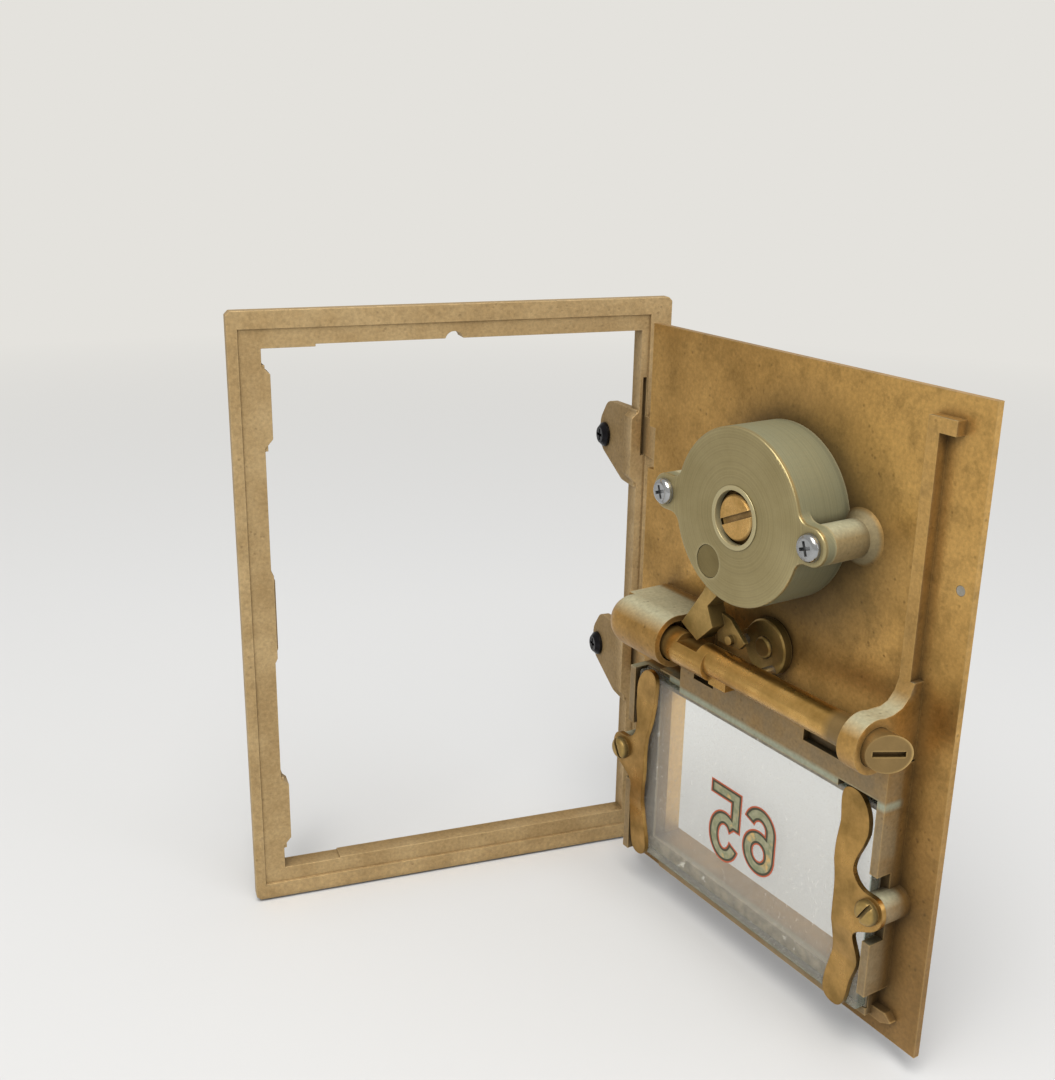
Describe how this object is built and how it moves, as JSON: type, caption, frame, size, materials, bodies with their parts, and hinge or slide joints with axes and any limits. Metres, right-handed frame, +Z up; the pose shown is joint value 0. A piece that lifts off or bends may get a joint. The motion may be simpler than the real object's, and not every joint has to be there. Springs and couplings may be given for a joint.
{
  "type": "letter box door with frame",
  "caption": "Small cast brass letter-box door, hinged open in its frame, with a dial lock, sliding latch bolt and a clipped glass window.",
  "frame": {"origin": "centre of the doorway in the plane of the flange back, where the frame seats on its box", "axes": "+Z up, +Y rearwards into the box, +X to the hinge side seen from the front; the door stands open 103 degrees"},
  "size_m": [0.1081, 0.1111, 0.127],
  "materials": {
    "frame_brass": "sand cast, matt",
    "door_brass": "aged casting",
    "cap_brass": "brushed, dull",
    "bright_brass": "satin",
    "shaft_brass": "turned",
    "bright_steel": "bright plated",
    "black_steel": "blacked",
    "pin_steel": "ground",
    "spring_steel": "drawn wire",
    "clear_glass": "clear",
    "white_putty": "matt",
    "number_paint": "printed foil",
    "dial_black": "black paint fill"
  },
  "bodies": {
    "frame": {"door_frame": "frame_brass", "mounting_screws": "black_steel", "hinge_pins": "pin_steel"},
    "door": {"door_plate": "door_brass", "lock_cap": "cap_brass", "cap_eyelet": "bright_brass", "cap_plug": "cap_brass", "cap_screws": "bright_steel", "wheel_post": "shaft_brass", "wheel_spacers": "shaft_brass", "dial_ring": "door_brass", "dial_marks": "dial_black", "latch_rosette": "door_brass", "lever_pin": "shaft_brass", "window_seal": "white_putty", "window_pane": "clear_glass", "window_number": "number_paint", "window_clip_free_side": "bright_brass", "window_clip_hinge_side": "bright_brass", "clip_screws": "bright_brass", "edge_rivet": "door_brass", "bolt_spring": "spring_steel"},
    "dial": {"dial_knob": "bright_brass", "dial_spindle": "shaft_brass", "driver_wheel": "shaft_brass", "spindle_screw": "bright_brass"},
    "wheel_1": {"tumbler_wheel_1": "shaft_brass"},
    "wheel_2": {"tumbler_wheel_2": "shaft_brass"},
    "wheel_3": {"tumbler_wheel_3": "shaft_brass"},
    "bolt": {"latch_bolt": "bright_brass"},
    "latch_turn": {"latch_knob": "bright_brass", "latch_spindle": "shaft_brass", "latch_cam": "door_brass", "cam_drive_pin": "pin_steel", "cam_stop_pin": "pin_steel"},
    "fence": {"fence_lever": "door_brass"}
  },
  "joints": [
    {"name": "door_hinge", "type": "hinge", "parent": "frame", "child": "door", "pos_m": [0.043, -0.008, 0], "axis": [0, 0, 1], "range_deg": [-103, 60]},
    {"name": "dial_spin", "type": "hinge", "parent": "door", "child": "dial", "pos_m": [0.04722, -0.05116, 0.0314], "axis": [0.9744, 0.225, 0], "continuous": true},
    {"name": "wheel_1_spin", "type": "hinge", "parent": "door", "child": "wheel_1", "pos_m": [0.04556, -0.05154, 0.0314], "axis": [0.9744, 0.225, 0], "continuous": true},
    {"name": "wheel_2_spin", "type": "hinge", "parent": "door", "child": "wheel_2", "pos_m": [0.04322, -0.05208, 0.0314], "axis": [0.9744, 0.225, 0], "continuous": true},
    {"name": "wheel_3_spin", "type": "hinge", "parent": "door", "child": "wheel_3", "pos_m": [0.04088, -0.05262, 0.0314], "axis": [0.9744, 0.225, 0], "continuous": true},
    {"name": "bolt_slide", "type": "slide", "parent": "door", "child": "bolt", "axis": [-0.225, 0.9744, 0], "range_m": [0, 0.005], "stiffness_N_per_m": 300, "springref_m": -0.004, "deforming": ["bolt_spring"]},
    {"name": "latch_knob_turn", "type": "hinge", "parent": "door", "child": "latch_turn", "pos_m": [0.04722, -0.05116, 0.0043], "axis": [0.9744, 0.225, 0], "range_deg": [0, 66.05]},
    {"name": "fence_pivot", "type": "hinge", "parent": "door", "child": "fence", "pos_m": [0.04602, -0.04599, 0.0179], "axis": [0.9744, 0.225, 0], "range_deg": [0, 12.05]}
  ],
  "couplings": [
    {"joint": "wheel_1_spin", "follows": "dial_spin", "ratio": 1},
    {"joint": "wheel_2_spin", "follows": "dial_spin", "ratio": 1},
    {"joint": "wheel_3_spin", "follows": "dial_spin", "ratio": 1},
    {"joint": "latch_knob_turn", "follows": "bolt_slide", "rad_per_m": 230.38},
    {"joint": "fence_pivot", "follows": "bolt_slide", "rad_per_m": 41.888}
  ]
}
